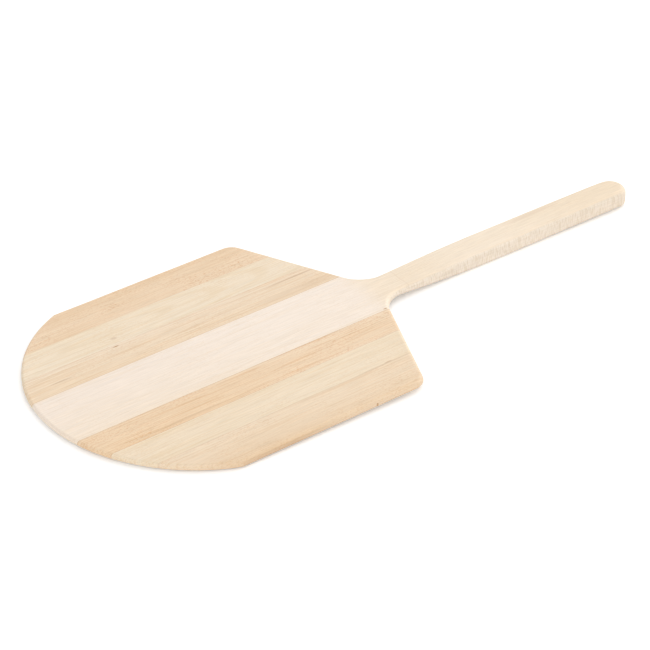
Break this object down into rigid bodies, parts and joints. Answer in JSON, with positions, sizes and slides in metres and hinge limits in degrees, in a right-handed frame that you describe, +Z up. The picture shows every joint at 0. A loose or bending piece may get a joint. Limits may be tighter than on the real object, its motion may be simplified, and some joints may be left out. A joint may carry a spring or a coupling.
{
  "type": "pizza peel",
  "caption": "Wooden pizza peel with a wide thin blade, round front lip, sloping shoulders and a straight rounded handle, for sliding pizza in and out of an oven.",
  "frame": {"origin": "middle of the part's length and width, at the height of the flat surface that the peel lies on", "axes": "+X along the peel from the front lip to the end of the handle, +Z up; the blade's top faces up, 0.83 degrees nose down, as the peel lies on its lip and the front of its handle"},
  "size_m": [0.9196, 0.4, 0.0263],
  "materials": {
    "handle_stave_wood": "raw, sanded",
    "inner_stave_left_wood": "raw, sanded",
    "middle_stave_left_wood": "raw, sanded",
    "outer_stave_left_wood": "raw, sanded",
    "inner_stave_right_wood": "raw, sanded",
    "middle_stave_right_wood": "raw, sanded",
    "outer_stave_right_wood": "raw, sanded"
  },
  "bodies": {
    "root": {"handle_stave": "handle_stave_wood", "inner_stave_left": "inner_stave_left_wood", "middle_stave_left": "middle_stave_left_wood", "outer_stave_left": "outer_stave_left_wood", "inner_stave_right": "inner_stave_right_wood", "middle_stave_right": "middle_stave_right_wood", "outer_stave_right": "outer_stave_right_wood"}
  },
  "joints": []
}
